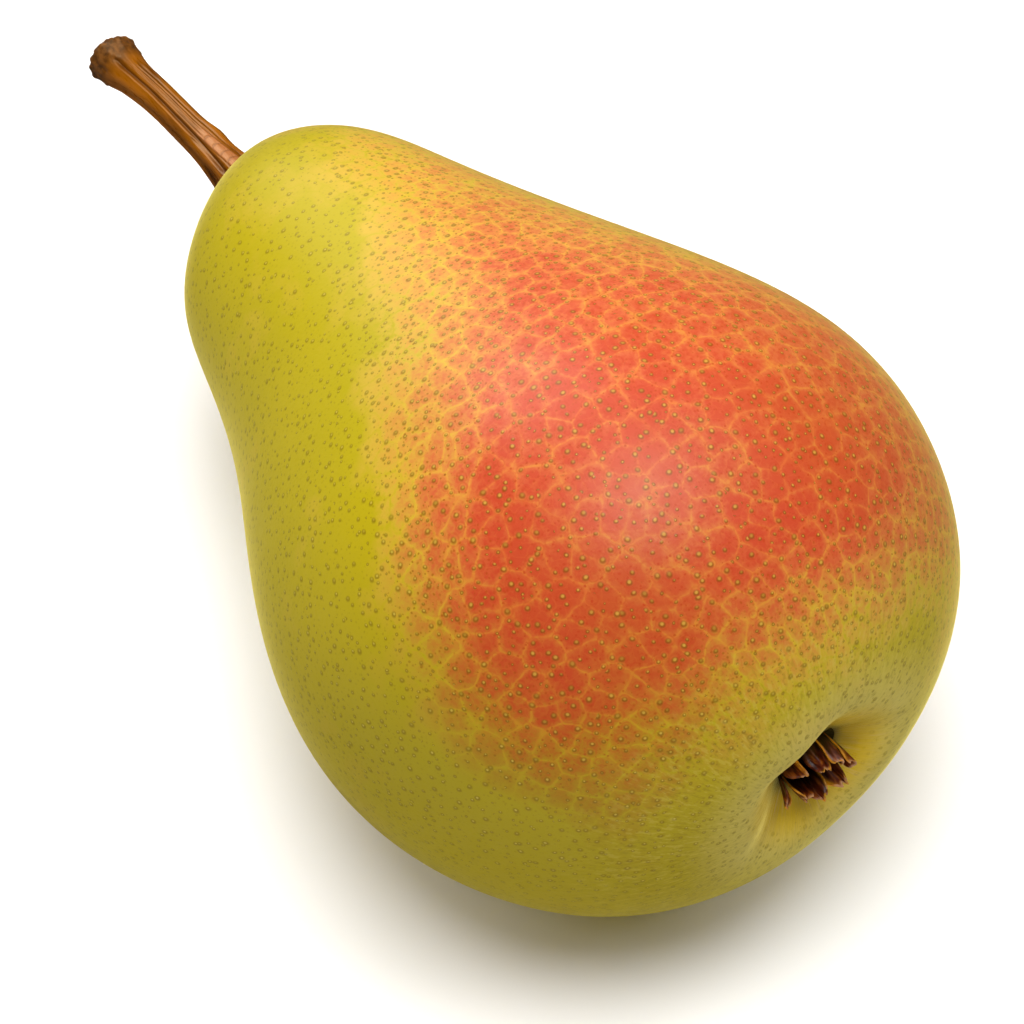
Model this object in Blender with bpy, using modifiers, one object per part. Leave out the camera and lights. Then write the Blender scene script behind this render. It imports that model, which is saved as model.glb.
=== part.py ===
"""A ripe pear that lies on its side, with its woody stem and the dried calyx in its basin.

The fruit is shaped about a core line: x runs along it from the belly's middle, towards the calyx where
it is positive and towards the stem where it is negative. The pear is then rolled and tipped into the
place where it rests, on a small flat spot under its weight. Lengths are in millimetres until that step.
"""

import math

import bmesh
import bpy
import numpy as np
from mathutils import Matrix, Vector

MM = 0.001

# Fruit
LENGTH = 99.4  # calyx end to stem end along the core line
CALYX_END = 30.0  # x of the calyx end
STEM_END = CALYX_END - LENGTH
# How wide the pear is there against a round ball of its length, at shares of the length from the calyx
GIRTH = (
    (0.00, 0.961),
    (0.12, 0.851),
    (0.27, 0.764),
    (0.42, 0.658),
    (0.56, 0.540),
    (0.70, 0.465),
    (0.82, 0.450),
    (0.92, 0.433),
    (0.97, 0.334),
    (1.00, 0.215),
)
SWAY = ((30.0, 3.3), (0.0, 0.0), (-25.0, 2.6), (-50.0, -0.5), (-72.0, -2.4))  # y of the core line at x
LEAN = ((30.0, -0.08), (0.0, 0.11), (-35.0, 0.25), (-72.0, -0.34))  # slope of the rings at x
FRUIT_SEGMENTS = 60
FRUIT_RINGS = 50
CROWDING = 0.6  # how far the rings are drawn towards both ends

# Basin round the calyx, with soft folds
BASIN_DEPTH = 5.2
BASIN_RADIUS = 7.0
BASIN_STEEPNESS = 2.75
FOLDS = 5
FOLD_ANGLE = math.radians(90)  # a fold's crest, from +Y towards +Z
FOLD_SHARE = 0.05  # how much narrower the basin is at a crest
FOLD_HEIGHT = 0.12
FOLD_RADIUS = 9.5
FOLD_SPREAD = 4.0

# Dimple round the stem
DIMPLE_DEPTH = 1.8
DIMPLE_RADIUS = 4.5

# How the pear lies
ROLL = math.radians(18.6)
PITCH = math.radians(4.5)  # calyx end up
SAG_DEPTH = 2.8  # fuller underside, which brings the resting point under the weight
SAG_AT = -22.0
SAG_SPREAD = 14.0
BELLY_PLACE = (31.8, -0.1, 34.05)  # the belly's middle, over the ground and from the middle of the whole pear

# Stem, measured outwards from the fruit's stem end, with its spine measured from the core line's end
STEM_SEGMENTS = 48
STEM_RINGS = 34
SOCKET_SEGMENTS = 24
SOCKET_RINGS = 14
SOCKET_DEPTH = 6.0
STEM_LENGTH = 24.2
GAP = 0.3  # room between two pieces that touch
SPINE_Y = ((-6.0, 0.1), (0.0, 0.1), (5.0, -0.15), (10.0, -0.5), (16.0, -1.05), (20.0, -1.65), (24.2, -1.9))
SPINE_Z = ((-6.0, 0.0), (0.0, 0.0), (7.0, 0.2), (14.0, 0.6), (24.0, 1.5))
STEM_RADIUS = (
    (-6.0, 2.1),
    (-1.0, 2.75),
    (1.0, 2.55),
    (5.0, 2.1),
    (9.0, 2.0),
    (13.0, 2.0),
    (17.0, 2.15),
    (19.5, 2.4),
    (21.8, 2.85),
    (24.2, 2.7),
)
STEM_ROUNDING = 2.2  # how far the stem's ends are rounded
FLUTES = 9
FLUTE_SHARE = 0.05
KNOBS = 16
KNOB_SHARE = 0.05
KNOBS_FROM = 19.5
SCAR_HEIGHT = 0.3  # a low swelling on one side, near the fruit
SCAR_AT = 5.8
SCAR_SPREAD = 1.7

# Calyx: a ring in a seat on the basin's floor, and the sepals that stand on it
RING_RADIUS = 3.7
RING_HOLE = 2.3
RING_TOP = CALYX_END - 4.8
RING_HEIGHT = 1.4
RING_SEGMENTS = 28
SEPAL_RADIUS = 3.0
SEPAL_ROOT = 0.5  # how deep a sepal is sunk in the ring
SEPAL_THICKNESS = 0.65
SEPAL_TROUGH = 0.5  # how far the edges turn in
SEPAL_TAPER = 0.7  # how much narrower the tip is
# Each sepal: angle from +Y towards +Z, length, width, lean outwards, inward curl of the tip
SEPALS = (
    (34.0, 4.2, 2.3, 0.10, 0.12),
    (74.0, 3.9, 2.2, 0.00, 0.31),
    (118.0, 3.2, 2.1, 0.06, 0.14),
    (166.0, 3.8, 1.9, 0.42, -0.05),
    (200.0, 3.9, 2.9, 0.08, 0.10),
    (246.0, 4.2, 2.7, 0.14, 0.05),
    (290.0, 4.2, 2.6, 0.24, 0.05),
    (338.0, 4.0, 2.3, 0.20, 0.02),
)


def line_through(stations):
    """A function that reads a smooth line through the stations, with no curvature at its ends."""
    at, value = np.array(sorted(stations)).T
    gap = np.diff(at)
    slope = np.diff(value) / gap
    rows = np.eye(len(at))
    turn = np.zeros(len(at))
    for i in range(1, len(at) - 1):
        rows[i, i - 1 : i + 2] = gap[i - 1], 2 * (gap[i - 1] + gap[i]), gap[i]
        turn[i] = 6 * (slope[i] - slope[i - 1])
    curve = np.linalg.solve(rows, turn)

    def read(x):
        i = np.clip(np.searchsorted(at, x) - 1, 0, len(gap) - 1)
        left = at[i + 1] - x
        right = x - at[i]
        bend = (curve[i] * left**3 + curve[i + 1] * right**3) / (6 * gap[i])
        low = (value[i] / gap[i] - curve[i] * gap[i] / 6) * left
        high = (value[i + 1] / gap[i] - curve[i + 1] * gap[i] / 6) * right
        return bend + low + high

    return read


girth_at = line_through(GIRTH)
sway_at = line_through(SWAY)
lean_at = line_through(LEAN)
stem_radius_at = line_through(STEM_RADIUS)
spine_y_at = line_through([(out, sway_at(STEM_END) + y) for out, y in SPINE_Y])
spine_z_at = line_through(SPINE_Z)
rest_turn = Matrix.Rotation(-PITCH, 3, "Y") @ Matrix.Rotation(ROLL, 3, "X")


def basin(radius, angle):
    """How far the calyx end sinks in, at a distance and an angle round the core."""
    fold = np.cos(FOLDS * (angle - FOLD_ANGLE))
    dip = BASIN_DEPTH * np.exp(-((radius / (BASIN_RADIUS * (1 - FOLD_SHARE * fold))) ** BASIN_STEEPNESS))
    return dip - FOLD_HEIGHT * fold * np.exp(-(((radius - FOLD_RADIUS) / FOLD_SPREAD) ** 2))


def shape_fruit(ball):
    """Turns points of a unit ball, whose poles are on x, into points of the fruit's surface."""
    angle = np.arctan2(ball[:, 2], ball[:, 1])
    polar = np.arccos(np.clip(ball[:, 0], -1, 1))
    polar = polar - CROWDING / 2 * np.sin(2 * polar)
    share = (1 - np.cos(polar)) / 2
    core = CALYX_END - LENGTH * share
    radius = LENGTH * girth_at(share) * np.sin(polar) / 2

    down = rest_turn.transposed() @ Vector((0, 0, -1))
    underneath = np.clip(down.y * np.cos(angle) + down.z * np.sin(angle), 0, 1) ** 2
    radius = radius + SAG_DEPTH * underneath * np.exp(-(((core - SAG_AT) / SAG_SPREAD) ** 2))

    y = radius * np.cos(angle)
    x = core + lean_at(core) * y
    at_calyx = core > 0
    x = np.where(at_calyx, x - basin(radius, angle), x + DIMPLE_DEPTH * np.exp(-((radius / DIMPLE_RADIUS) ** 2)))
    return np.stack([x, y + sway_at(core), radius * np.sin(angle)], axis=1)


def shape_stem(ball):
    """Turns points of a unit ball, whose poles are on x, into points of the stem's surface."""
    angle = np.arctan2(ball[:, 2], ball[:, 1])
    share = 1 - np.arccos(np.clip(ball[:, 0], -1, 1)) / math.pi
    out = STEM_LENGTH - (STEM_LENGTH + SOCKET_DEPTH) * share
    from_end = np.minimum(STEM_LENGTH - out, out + SOCKET_DEPTH) / STEM_ROUNDING
    rounding = np.sqrt(1 - (1 - np.clip(from_end, 0, 1)) ** 2)
    flutes = FLUTE_SHARE * np.cos(FLUTES * angle) * np.clip(out, 0, 1)
    scar = SCAR_HEIGHT * np.exp(-(((out - SCAR_AT) / SCAR_SPREAD) ** 2)) * np.clip(np.cos(angle), 0, 1) ** 2
    knobs = KNOB_SHARE * np.cos(KNOBS * angle) * np.clip(out - KNOBS_FROM, 0, 1)
    radius = stem_radius_at(out) * rounding * (1 + flutes + knobs) + scar
    y = spine_y_at(out) + radius * np.cos(angle)
    z = spine_z_at(out) + radius * np.sin(angle)
    return np.stack([STEM_END - out, y, z], axis=1)


def shape_socket(ball):
    """The hole that the stem's root stands in: the root with room all round, and straight on outwards."""
    angle = np.arctan2(ball[:, 2], ball[:, 1])
    share = 1 - np.arccos(np.clip(ball[:, 0], -1, 1)) / math.pi
    end = SOCKET_DEPTH
    out = end - (2 * SOCKET_DEPTH + GAP) * share
    from_end = np.minimum(end - out, out + SOCKET_DEPTH + GAP) / STEM_ROUNDING
    rounding = np.sqrt(1 - (1 - np.clip(from_end, 0, 1)) ** 2)
    inside = np.clip(out, -SOCKET_DEPTH, 0)
    radius = (stem_radius_at(inside) * (1 + FLUTE_SHARE) + GAP) * rounding
    y = spine_y_at(inside) + radius * np.cos(angle)
    z = spine_z_at(inside) + radius * np.sin(angle)
    return np.stack([STEM_END - out, y, z], axis=1)


def shape_sepal(sheet, angle, length, width, lean, curl):
    """Turns points of a flat sheet, x from -1 to 1 across and y from -1 to 1 along, into a curled sepal."""
    across = sheet[:, 0]
    along = (sheet[:, 1] + 1) / 2
    taper = 1 - SEPAL_TAPER * along**2
    height = (length + SEPAL_ROOT) * along - SEPAL_ROOT
    out = SEPAL_RADIUS + lean * height - curl * length * along**3
    out = out - SEPAL_TROUGH * taper * across**2 * (0.4 + along)
    side = width / 2 * taper * across
    cos, sin = math.cos(angle), math.sin(angle)
    y = sway_at(CALYX_END) + out * cos - side * sin
    return np.stack([RING_TOP + height, y, out * sin + side * cos], axis=1)


def moved(bm, shape, *values):
    """Moves a mesh's points, given in the primitive's own units, to where the shape puts them."""
    points = shape(np.array([vertex.co for vertex in bm.verts]), *values) * MM
    for vertex, point in zip(bm.verts, points):
        vertex.co = point


def new_object(name, bm, collection, material=None):
    """Makes an object of the mesh, shaded smooth except at sharp edges."""
    mesh = bpy.data.meshes.new(name)
    bmesh.ops.recalc_face_normals(bm, faces=bm.faces)
    bm.to_mesh(mesh)
    bm.free()
    mesh.shade_smooth()
    mesh.set_sharp_from_angle(angle=math.radians(50))
    if material:
        mesh.materials.append(material)
    made = bpy.data.objects.new(name, mesh)
    collection.objects.link(made)
    return made


def new_material(name, colour, roughness):
    material = bpy.data.materials.new(name)
    material.use_nodes = True
    shader = material.node_tree.nodes["Principled BSDF"]
    shader.inputs["Base Color"].default_value = (*colour, 1)
    shader.inputs["Roughness"].default_value = roughness
    shader.inputs["Metallic"].default_value = 0
    return material


def ball_along_x(segments, rings):
    """A unit ball whose poles lie on x."""
    bm = bmesh.new()
    turn = Matrix.Rotation(math.radians(90), 4, "Y")
    bmesh.ops.create_uvsphere(bm, u_segments=segments, v_segments=rings, radius=1, matrix=turn)
    return bm


def calyx_cylinder(start, end, radius):
    """A cylinder along the core line at the calyx, from one x to another."""
    bm = bmesh.new()
    middle = Matrix.Translation(((start + end) / 2, sway_at(CALYX_END), 0))
    bmesh.ops.create_cone(
        bm,
        cap_ends=True,
        segments=RING_SEGMENTS,
        radius1=radius,
        radius2=radius,
        depth=end - start,
        matrix=middle @ Matrix.Rotation(math.radians(90), 4, "Y"),
    )
    bmesh.ops.scale(bm, vec=(MM, MM, MM), verts=bm.verts)
    return bm


def add_boolean(target, operation, other=None, collection=None):
    boolean = target.modifiers.new(operation.title(), "BOOLEAN")
    boolean.operation = operation
    boolean.solver = "EXACT"
    if collection:
        boolean.operand_type = "COLLECTION"
        boolean.collection = collection
    else:
        boolean.object = other


def new_collection(name, hidden=False):
    collection = bpy.data.collections.new(name)
    bpy.context.scene.collection.children.link(collection)
    collection.hide_render = hidden
    return collection


def apply_modifiers(target):
    """Replaces the object's mesh with the shape that its modifiers give it."""
    graph = bpy.context.evaluated_depsgraph_get()
    made = bpy.data.meshes.new_from_object(target.evaluated_get(graph))
    target.modifiers.clear()
    target.data = made


def make_fruit(parts, cutters):
    bm = ball_along_x(FRUIT_SEGMENTS, FRUIT_RINGS)
    moved(bm, shape_fruit)
    skin = new_material("pear_skin", (0.62, 0.42, 0.05), 0.38)
    fruit = new_object("fruit", bm, parts, skin)

    socket = ball_along_x(SOCKET_SEGMENTS, SOCKET_RINGS)
    moved(socket, shape_socket)
    seat_floor = RING_TOP - RING_HEIGHT - GAP
    seat = calyx_cylinder(seat_floor, CALYX_END, RING_RADIUS + GAP)
    for name, cutter in (("stem_socket", socket), ("calyx_seat", seat)):
        add_boolean(fruit, "DIFFERENCE", new_object(name, cutter, cutters))
    return fruit


def make_stem(parts):
    bm = ball_along_x(STEM_SEGMENTS, STEM_RINGS)
    moved(bm, shape_stem)
    return new_object("stem", bm, parts, new_material("stem_wood", (0.26, 0.10, 0.02), 0.35))


def make_calyx(parts, cutters, sepals):
    """The ring with its hole, and the sepals joined to it."""
    dried = new_material("dried_calyx", (0.16, 0.06, 0.015), 0.55)
    base = RING_TOP - RING_HEIGHT
    outside = calyx_cylinder(base, RING_TOP, RING_RADIUS)
    calyx = new_object("calyx", outside, parts, dried)
    hole = calyx_cylinder(base - 1, RING_TOP + 1, RING_HOLE)
    add_boolean(calyx, "DIFFERENCE", new_object("calyx_hole", hole, cutters))

    for i, (angle, length, width, lean, curl) in enumerate(SEPALS):
        bm = bmesh.new()
        bmesh.ops.create_grid(bm, x_segments=4, y_segments=6, size=1)
        moved(bm, shape_sepal, math.radians(angle), length, width, lean, curl)
        sepal = new_object(f"sepal_{i + 1}", bm, sepals)
        solidify = sepal.modifiers.new("Thickness", "SOLIDIFY")
        solidify.thickness = SEPAL_THICKNESS * MM
        solidify.offset = 0
        apply_modifiers(sepal)
    add_boolean(calyx, "UNION", collection=sepals)
    apply_modifiers(calyx)
    for sepal in list(sepals.objects):
        bpy.data.objects.remove(sepal)
    return calyx


def rest_on_ground(pieces, cutters, fruit):
    """Rolls and tips the pear into its place, and cuts the flat spot that it rests on."""
    place = Matrix.Translation(Vector(BELLY_PLACE) * MM) @ rest_turn.to_4x4()
    for piece in [*pieces, *cutters.objects]:
        piece.data.transform(place)
    block = bmesh.new()
    bmesh.ops.create_cube(block, size=2 * LENGTH * MM, matrix=Matrix.Translation((0, 0, -LENGTH * MM)))
    add_boolean(fruit, "DIFFERENCE", new_object("ground", block, cutters))


def main():
    for old in list(bpy.data.objects):
        bpy.data.objects.remove(old)
    parts = new_collection("Pear")
    cutters = new_collection("Cutters", hidden=True)
    sepals = new_collection("Sepals")

    fruit = make_fruit(parts, cutters)
    stem = make_stem(parts)
    calyx = make_calyx(parts, cutters, sepals)
    bpy.data.collections.remove(sepals)
    rest_on_ground([fruit, stem, calyx], cutters, fruit)
    for cutter in cutters.objects:
        cutter.hide_render = True
        cutter.display_type = "WIRE"


main()
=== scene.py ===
"""A ripe pear on its side: freckled skin with a red blush, a glossy stem and a dried calyx.

The fruit is shaped ring by ring along its core line, in its own directions: x runs from the stem to
the calyx, and the pear is then rolled and tipped into the place where it rests. Lengths are in
millimetres and angles in degrees, unless a line says otherwise.
"""

import math

import bmesh
import bpy
import numpy as np
from mathutils import Matrix, Vector


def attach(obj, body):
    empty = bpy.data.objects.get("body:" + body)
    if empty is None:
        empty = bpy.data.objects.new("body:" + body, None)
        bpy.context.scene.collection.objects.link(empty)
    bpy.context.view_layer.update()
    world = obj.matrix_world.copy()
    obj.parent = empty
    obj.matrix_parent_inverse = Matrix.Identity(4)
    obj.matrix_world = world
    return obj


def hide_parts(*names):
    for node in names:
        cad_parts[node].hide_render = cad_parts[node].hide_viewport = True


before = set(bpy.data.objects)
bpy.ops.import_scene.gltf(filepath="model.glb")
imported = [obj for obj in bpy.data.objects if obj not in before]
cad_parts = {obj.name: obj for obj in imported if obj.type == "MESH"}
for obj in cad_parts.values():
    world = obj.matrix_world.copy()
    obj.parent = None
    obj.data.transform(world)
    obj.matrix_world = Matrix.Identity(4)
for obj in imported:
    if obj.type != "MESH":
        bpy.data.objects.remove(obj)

MM = 0.001
SEED = 7

# Where the pear lies
ROLL = math.radians(18.6)
PITCH = math.radians(4.5)
BELLY_PLACE = (31.8, -0.1, 34.05)

# Fruit, by the same lines as its solid
LENGTH = 99.4
CALYX_END = 30.0
STEM_END = CALYX_END - LENGTH
GIRTH = (
    (0.00, 0.961),
    (0.12, 0.851),
    (0.27, 0.764),
    (0.42, 0.658),
    (0.56, 0.540),
    (0.70, 0.465),
    (0.82, 0.450),
    (0.92, 0.433),
    (0.97, 0.334),
    (1.00, 0.215),
)
SWAY = ((30.0, 3.3), (0.0, 0.0), (-25.0, 2.6), (-50.0, -0.5), (-72.0, -2.4))
LEAN = ((30.0, -0.08), (0.0, 0.11), (-35.0, 0.25), (-72.0, -0.34))
FRUIT_SEGMENTS = 64
FRUIT_RINGS = 56
CROWDING = 0.6
BASIN_DEPTH = 5.2
BASIN_RADIUS = 7.0
BASIN_STEEPNESS = 2.75
FOLDS = 5
FOLD_ANGLE = math.radians(90)
FOLD_SHARE = 0.05
FOLD_HEIGHT = 0.12
FOLD_RADIUS = 9.5
FOLD_SPREAD = 4.0
DIMPLE_DEPTH = 1.8
DIMPLE_RADIUS = 4.5
SAG_DEPTH = 2.8
SAG_AT = -22.0
SAG_SPREAD = 14.0
CALYX_SIDE = 15.0  # from here on a point is at the calyx end

# Zones of the basin, by distance from the core line: where each begins, is full, wanes and ends
# The hollow is painted near black: painted shade deep in the basin
HOLLOW_SHADE_ZONE = (3.0, 5.0)
WALL_ZONE = (3.0, 4.4, 5.5, 10.5)
# The lip's paler ring is a painted sheen on the shoulder round the basin
LIP_SHEEN_ZONE = (5.0, 8.5, 9.5, 17.0)

# Blush, by stations along x: the angle where it is half faded on the shaded side, how wide that
# margin is, the angle where it weakens on the far side, and how deep its red is
BLUSH_EDGE = (
    (-70.0, 30.0),
    (-45.0, 58.0),
    (-26.0, 84.0),
    (-12.6, 96.0),
    (-3.0, 106.0),
    (5.0, 115.0),
    (15.0, 124.0),
    (30.0, 128.0),
)
BLUSH_FADE = ((-40.0, 10.0), (-15.0, 14.0), (5.0, 11.0), (25.0, 10.0))
BLUSH_FAR_EDGE = (
    (-45.0, 44.0),
    (-18.0, 48.0),
    (0.0, 24.0),
    (10.0, 16.0),
    (18.0, 22.0),
    (26.0, 42.0),
)
BLUSH_DEPTH = ((-55.0, 0.5), (-35.0, 0.6), (-18.0, 0.78), (0.0, 0.95), (8.0, 1.0))
BLUSH_END = 23.0
BLUSH_END_HASTE = 1.45  # how much faster it fades towards the calyx than towards the shade
BLUSH_CORNER = 3.0
BLUSH_SEAM = 160.0  # no blush past this angle
FAR_REDNESS = 0.42  # how much of the blush is left on the far side
BELT_RADIUS = 31.0  # turns the angle round the pear into a length, for the net of the blush
BELT_STATIONS = 400
LEAST_OLIVE_AND_PAINTED_SHADE = 0.35  # the share of the olive ground colour, partly painted shade, on the sunny side

# Stem
STEM_LENGTH = 24.2
STEM_ROOT = 4.0
STEM_SEGMENTS = 96
STEM_STEP = 0.25
SPINE_Y = (
    (-6.0, 0.1),
    (0.0, 0.1),
    (5.0, -0.15),
    (10.0, -0.5),
    (16.0, -1.05),
    (20.0, -1.65),
    (24.2, -1.9),
)
SPINE_Z = ((-6.0, 0.0), (0.0, 0.0), (7.0, 0.2), (14.0, 0.6), (24.0, 1.5))
STEM_RADIUS = (
    (-6.0, 2.1),
    (-1.0, 2.75),
    (1.0, 2.55),
    (5.0, 2.1),
    (9.0, 2.0),
    (13.0, 2.0),
    (17.0, 2.15),
    (19.5, 2.4),
    (21.8, 2.85),
    (24.2, 2.7),
)
STEM_ROUNDING = 2.2
STEM_TIP_RADIUS = 0.06
HEAD_TRIM = 0.2  # how far the head's knobs stay short of the stem's full length

# Grooves of the stem: angle, drift a millimetre, width, depth, and where each starts and ends
GROOVES = (
    (96, -0.6, 7, 0.36, -3, 20.5),
    (112, 0.5, 6, 0.16, -3, 6.5),
    (60, 0.2, 4, 0.10, 5, 19),
    (68, 0.1, 3, 0.07, 6, 20),
    (75, 0.1, 3, 0.07, 6, 20),
    (82, -0.1, 3, 0.08, 5, 20),
    (46, 0.3, 6, 0.16, -3, 19),
    (150, 0.4, 16, 0.16, -3, 19),
    (200, -0.4, 12, 0.22, -3, 19),
    (245, 0.3, 12, 0.25, -3, 19),
    (290, -0.3, 12, 0.2, -3, 19),
    (335, 0.3, 10, 0.2, -3, 19),
    (8, 0.0, 8, 0.10, -3, 19),
)
GROOVE_MIDDLE = 10.0  # how far out a groove is at its own angle
FULL_GROOVE_SHADE = 0.25  # the depth from which a groove is painted as dark with shade as it gets
KNUCKLE_HEIGHT = 0.3
KNUCKLE_AT = 5.8
KNUCKLE_SPREAD = 1.7

# Knobs round the stem's head: their count, scatter, distance out, spread, least and most height
KNOB_RIMS = ((16, 3, 22.6, 0.42, 0.24, 0.36), (11, 9, 23.9, 0.34, 0.16, 0.3))
WARTS = 70
WARTS_FROM, WARTS_TO = 20.4, 24
WART_SPREAD = 0.32
WART_HEIGHTS = (-0.16, 0.13)

# The strip of bare bark at the stem's foot, and its cracks: how far out, and how much each bows
BARK_ANGLE = 72
BARK_TWIST = 1.2
BARK_HALF_WIDTH = 19
BARK_CRACKS = ((5.9, 0.6), (4.4, 0.45), (2.7, 0.6), (1.3, 0.35), (-0.2, 0.5))
BARK_CRACK_WIDTH = 0.11
BARK_CRACK_DEPTH = 0.08

# Calyx
CALYX_FLOOR = CALYX_END - 4.8
RING_RADIUS = 3.7
RING_HEIGHT = 1.2
RING_SINK = 0.4  # how far the ring's middle lies under the basin's floor
RING_RIM = 1.4
RING_HOLLOW = 0.9
SEPAL_RADIUS = 3.0
SEPAL_ROOT = 0.8  # how far a sepal starts under the basin's floor
SEPAL_THICKNESS = 0.2
SEPAL_SPREAD = 0.96
SEPAL_OUTLINE = ((0.0, 0.7), (0.3, 1.0), (0.65, 1.0), (0.85, 0.78), (1.0, 0.42))
ANY_PHASE = 6.28  # radians

# Sepals: angle, length, width, outward lean, inward curl, fold along the middle, and how much of
# the wing on one side or, below 0, the other is gilt
SEPALS = (
    (34.0, 4.2, 2.3, 0.10, 0.12, 0.9, 0.1),
    (74.0, 3.9, 2.2, 0.00, 0.31, 1.0, -0.2),
    (118.0, 3.2, 2.1, 0.06, 0.14, -0.9, -0.9),
    (166.0, 3.8, 1.9, 0.42, -0.05, 0.7, 0.1),
    (200.0, 3.9, 2.9, 0.08, 0.10, 0.9, -0.2),
    (246.0, 4.2, 2.7, 0.14, 0.05, 1.0, 0.2),
    (290.0, 4.2, 2.6, 0.24, 0.05, 0.9, -0.5),
    (338.0, 4.0, 2.3, 0.20, 0.02, 0.8, 0.3),
)

# Camera
CAMERA_AZIMUTH = math.radians(55.05)
CAMERA_ELEVATION = math.radians(60.6)
CAMERA_LENS = 100.0
CAMERA_SENSOR = 36.0
# How far the belly's middle lies right of, under and in front of the camera
CAMERA_OFFSET = (10.62, 8.07, 281.8)

# Softboxes, in metres: name, place, diameter, how bright each alone makes a white card that faces
# it, what it lights, whether it shows in the gloss, and its tint
LIT_POINT = Vector((0.02, 0.0, 0.04))
WHITE = (1.0, 1.0, 1.0)
SOFTBOXES = (
    ("window_softbox", (-0.68, 0.06, 0.68), 0.6, 0.4, "pear", True, WHITE),
    ("side_softbox", (-0.93, 0.08, 0.26), 0.6, 0.08, "pear", True, WHITE),
    ("overhead_softbox", (0.1, 0.06, 0.92), 0.5, 0.5, "pear", True, WHITE),
    ("back_softbox", (-0.08, 0.42, 0.8), 0.8, 0.41, "pear", False, WHITE),
    ("front_softbox", (0.52, -0.66, 0.5), 0.6, 0.2, "pear", False, WHITE),
    ("floor_light", (0.0, 0.0, 1.0), 0.6, 1.1, "floor", True, WHITE),
    ("floor_light_front", (-0.25, -0.43, 0.87), 0.55, 0.27, "floor", True, (1.0, 0.96, 0.93)),
    ("floor_light_back", (0.25, 0.43, 0.87), 0.55, 0.29, "floor", True, WHITE),
    ("wide_floor_light", (0.0, 0.0, 1.0), 2.2, 0.12, "floor", True, (1.0, 0.78, 0.45)),
)
WORLD_LIGHT = 0.03


def line_through(stations):
    """A function that reads a smooth line through the stations, with no curvature at its ends."""
    at, value = np.array(sorted(stations)).T
    gap = np.diff(at)
    slope = np.diff(value) / gap
    rows = np.eye(len(at))
    turn = np.zeros(len(at))
    for i in range(1, len(at) - 1):
        rows[i, i - 1 : i + 2] = gap[i - 1], 2 * (gap[i - 1] + gap[i]), gap[i]
        turn[i] = 6 * (slope[i] - slope[i - 1])
    curve = np.linalg.solve(rows, turn)

    def read(x):
        i = np.clip(np.searchsorted(at, x) - 1, 0, len(gap) - 1)
        left = at[i + 1] - x
        right = x - at[i]
        bend = (curve[i] * left**3 + curve[i + 1] * right**3) / (6 * gap[i])
        low = (value[i] / gap[i] - curve[i] * gap[i] / 6) * left
        high = (value[i + 1] / gap[i] - curve[i + 1] * gap[i] / 6) * right
        return bend + low + high

    return read


girth_at = line_through(GIRTH)
sway_at = line_through(SWAY)
lean_at = line_through(LEAN)
blush_edge_at = line_through(BLUSH_EDGE)
stem_radius_at = line_through(STEM_RADIUS)
spine_y_at = line_through([(out, sway_at(STEM_END) + y) for out, y in SPINE_Y])
spine_z_at = line_through(SPINE_Z)
rest_turn = Matrix.Rotation(-PITCH, 3, "Y") @ Matrix.Rotation(ROLL, 3, "X")


def smooth_step(low, high, value):
    share = np.clip((value - low) / (high - low), 0, 1)
    return share * share * (3 - 2 * share)


def plateau(value, start, full, wane, end):
    """1 between full and wane, fading to 0 at start and end."""
    return smooth_step(start, full, value) * (1 - smooth_step(wane, end, value))


def hill(value, middle, spread):
    return np.exp(-(((value - middle) / spread) ** 2))


def wrapped(angle):
    """The angle between -180 and 180 degrees."""
    return (angle + 180) % 360 - 180


# Working on meshes


def clear_selection():
    bpy.ops.object.select_all(action="DESELECT")


def finish_primitive(name):
    """Names the primitive just added and puts its place and turn into its mesh."""
    piece = bpy.context.object
    piece.name = piece.data.name = name
    bpy.ops.object.transform_apply(location=True, rotation=True, scale=True)
    return piece


def pick_points(piece, indices):
    """In edit mode, selects these points and no others."""
    bpy.ops.mesh.select_all(action="DESELECT")
    bm = bmesh.from_edit_mesh(piece.data)
    bm.verts.ensure_lookup_table()
    for index in indices:
        bm.verts[index].select = True
    bm.select_flush(True)
    bmesh.update_edit_mesh(piece.data, loop_triangles=False, destructive=False)


def points_of(piece):
    points = np.empty(len(piece.data.vertices) * 3)
    piece.data.vertices.foreach_get("co", points)
    return points.reshape(-1, 3) / MM


def set_points(piece, points):
    piece.data.vertices.foreach_set("co", (np.asarray(points) * MM).reshape(-1))
    piece.data.update()


def subdivide_smoothly(piece, levels):
    modifier = piece.modifiers.new("Smooth", "SUBSURF")
    modifier.levels = modifier.render_levels = levels
    bpy.ops.object.modifier_apply(modifier=modifier.name)


def thicken(piece, thickness, offset):
    modifier = piece.modifiers.new("Thickness", "SOLIDIFY")
    modifier.thickness = thickness * MM
    modifier.offset = offset
    bpy.ops.object.modifier_apply(modifier=modifier.name)


def keep_shade(piece, name, values):
    """Stores one number a point on the piece, for its material to read."""
    attribute = piece.data.attributes.new(name, "FLOAT", "POINT")
    attribute.data.foreach_set("value", np.asarray(values, np.float32))


def lay_to_rest(piece):
    """Rolls and tips the piece with the pear, and puts that into its mesh."""
    piece.rotation_euler = (ROLL, -PITCH, 0)
    piece.location = Vector(BELLY_PLACE) * MM
    bpy.ops.object.transform_apply(location=True, rotation=True, scale=True)


# Fruit


def basin(radius, width=BASIN_RADIUS):
    return BASIN_DEPTH * np.exp(-((radius / width) ** BASIN_STEEPNESS))


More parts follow.
